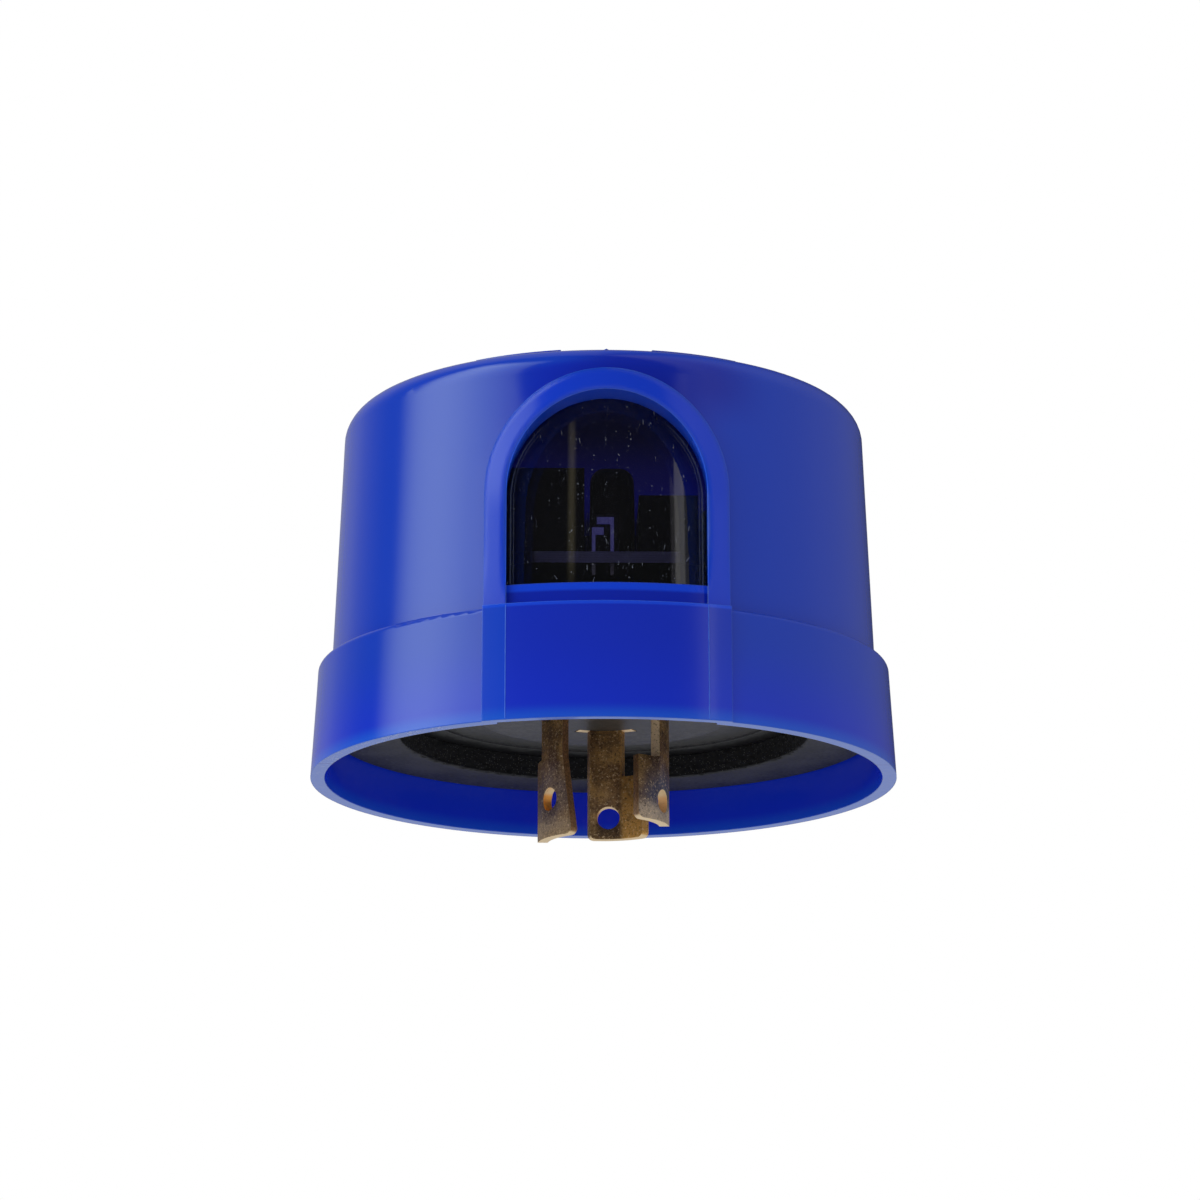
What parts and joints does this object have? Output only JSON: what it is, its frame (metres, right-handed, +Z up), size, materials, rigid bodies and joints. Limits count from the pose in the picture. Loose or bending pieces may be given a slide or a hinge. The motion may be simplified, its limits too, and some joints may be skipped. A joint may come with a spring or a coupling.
{
  "type": "photocell switch",
  "caption": "Twist-lock photocell switch for outdoor lamps: a round cap with an arched side window for its light sensor, and curved locking blades under a foam seal.",
  "frame": {"origin": "on the cap's axis, at the face of the foam seal, where the receptacle's rim meets it", "axes": "+Z up along the cap's axis, the window looks along -Y, the blades point along -Z"},
  "size_m": [0.0836, 0.0836, 0.0633],
  "materials": {
    "housing_plastic": "glossy moulded plastic, plain deep blue",
    "pane_plastic": "clear dark pane with light dust",
    "seal_foam": "closed-cell foam with a smooth skin and a coarse cut edge",
    "base_plastic": "dark grey moulded plastic",
    "blade_brass": "stamped brass, tarnished in patches",
    "board_laminate": "glass-fibre laminate with a dull green coat",
    "screw_steel": "plated steel",
    "sensor_resin": "clear tinted resin",
    "lead_tin": "tinned lead frame",
    "relay_case": "black moulded case",
    "varistor_coat": "dipped coat",
    "capacitor_case": "dark boxed case",
    "can_sleeve": "shrunk plastic sleeve",
    "diode_case": "black moulded resin",
    "zener_glass": "small glass body",
    "resistor_coat": "tan coat",
    "solder": "bright solder"
  },
  "bodies": {
    "root": {"housing": "housing_plastic", "window_pane": "pane_plastic", "seal_ring": "seal_foam", "base_plate": "base_plastic", "blade_line": "blade_brass", "blade_load": "blade_brass", "blade_neutral": "blade_brass", "circuit_board": "board_laminate", "board_screws": "screw_steel", "light_sensor": "sensor_resin", "sensor_leads": "lead_tin", "relay": "relay_case", "varistor": "varistor_coat", "dropper_capacitor": "capacitor_case", "smoothing_capacitor": "can_sleeve", "rectifier_diodes": "diode_case", "zener_diode": "zener_glass", "resistors": "resistor_coat", "driver_transistor": "diode_case", "solder_joints": "solder"}
  },
  "joints": []
}
